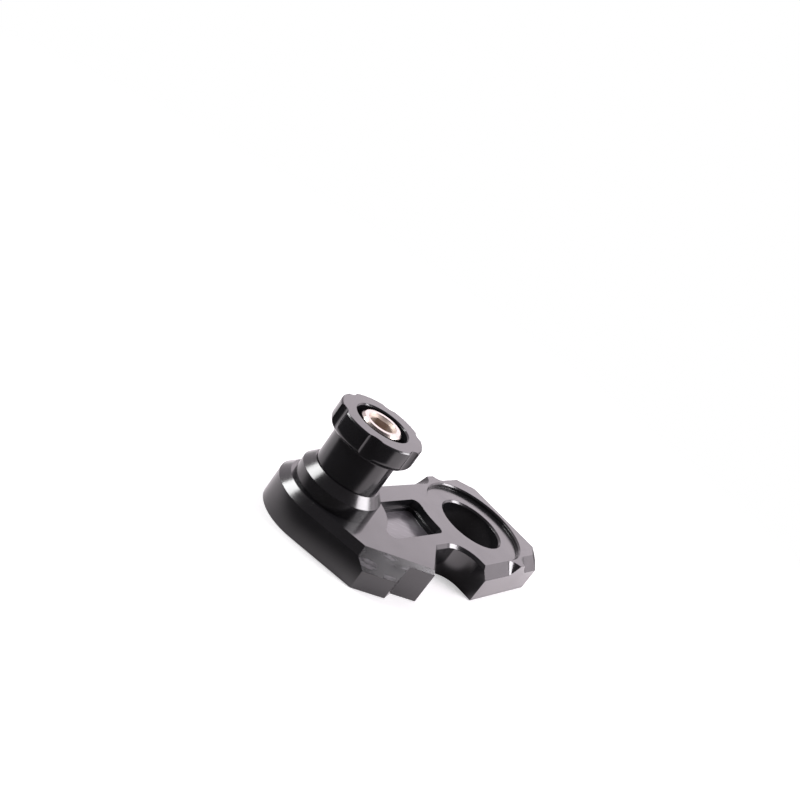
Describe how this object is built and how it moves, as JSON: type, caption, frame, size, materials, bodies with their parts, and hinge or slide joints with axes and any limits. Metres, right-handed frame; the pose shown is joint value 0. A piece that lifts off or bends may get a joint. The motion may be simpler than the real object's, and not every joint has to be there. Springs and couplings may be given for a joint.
{
  "type": "motorcycle chain adjuster",
  "caption": "Machined chain adjuster plate with an axle bore, a washer recess, a side notch and a clamped lift spool on a spacer collar.",
  "frame": {"origin": "centre of the axle bore on the flat back face", "axes": "+Z along the axle bore toward the side the spool stands on, -X toward the spool boss, -Y toward the open notch"},
  "size_m": [0.1215, 0.0685, 0.0455],
  "materials": {
    "plate": "gloss black anodised",
    "collar": "gloss black anodised",
    "spool": "gloss black anodised",
    "screw": "bright stainless steel"
  },
  "bodies": {
    "root": {"adjuster_plate": "plate", "spool_collar": "collar", "spool": "spool", "spool_screw": "screw"}
  },
  "joints": []
}
